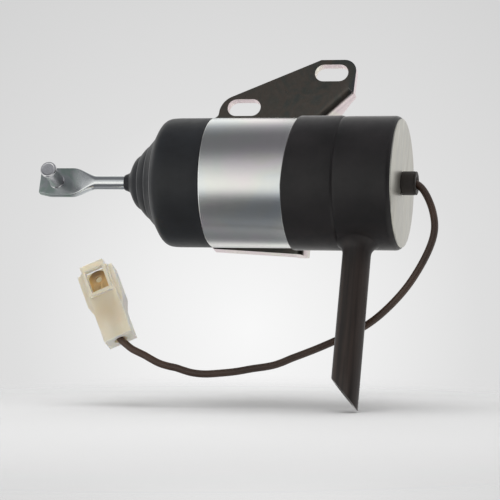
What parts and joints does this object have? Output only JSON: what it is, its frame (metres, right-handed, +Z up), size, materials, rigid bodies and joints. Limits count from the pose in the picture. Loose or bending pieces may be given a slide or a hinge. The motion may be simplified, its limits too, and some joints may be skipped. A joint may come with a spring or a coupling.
{
  "type": "fuel shutoff solenoid",
  "caption": "Pull-type engine stop solenoid: round steel can, bellows boot and pull rod, slotted bracket, rubber sleeve with drain tube, and a short lead with a one-way connector.",
  "frame": {"origin": "midway between the bracket's two slots, on the face that meets the engine", "axes": "+X along the plunger towards the lead, +Y out of the bracket's mounting face, +Z up with the drain tube pointing down"},
  "size_m": [0.14, 0.0529, 0.1371],
  "materials": {
    "zinc_plate": "bright zinc plating",
    "bare_steel": "machined",
    "dark_zinc": "zinc plated sheet",
    "black_rubber": "satin",
    "bronze": "sintered",
    "brass": "satin",
    "copper_wire": "enamelled",
    "tape": "matte",
    "natural_nylon": "satin",
    "wire_jacket": "satin"
  },
  "bodies": {
    "housing": {"housing_can": "zinc_plate", "rear_cap": "bare_steel", "bracket": "dark_zinc", "bracket_welds": "dark_zinc", "rubber_sleeve": "black_rubber", "front_boot": "black_rubber", "front_plate": "bare_steel", "guide_bush": "bronze", "guide_tube": "brass", "fixed_core": "bare_steel", "core_plate": "bare_steel", "bobbin": "natural_nylon", "coil_winding": "copper_wire", "coil_tape": "tape", "insulating_disc": "tape", "spring_washer": "bare_steel", "stop_bumper": "black_rubber", "ground_lug": "brass", "ground_rivet": "bare_steel", "lead_splice": "brass", "lead_grommet": "black_rubber", "return_spring": "bare_steel", "lead_wire": "wire_jacket", "connector_housing": "natural_nylon", "terminal_blade": "brass"},
    "plunger": {"plunger": "bare_steel", "rod": "zinc_plate", "link_pin": "zinc_plate"}
  },
  "joints": [
    {"name": "plunger_slide", "type": "slide", "parent": "housing", "child": "plunger", "axis": [1, 0, 0], "range_m": [0, 0.01], "stiffness_N_per_m": 500, "springref_m": -0.015, "deforming": ["return_spring", "front_boot"]}
  ]
}
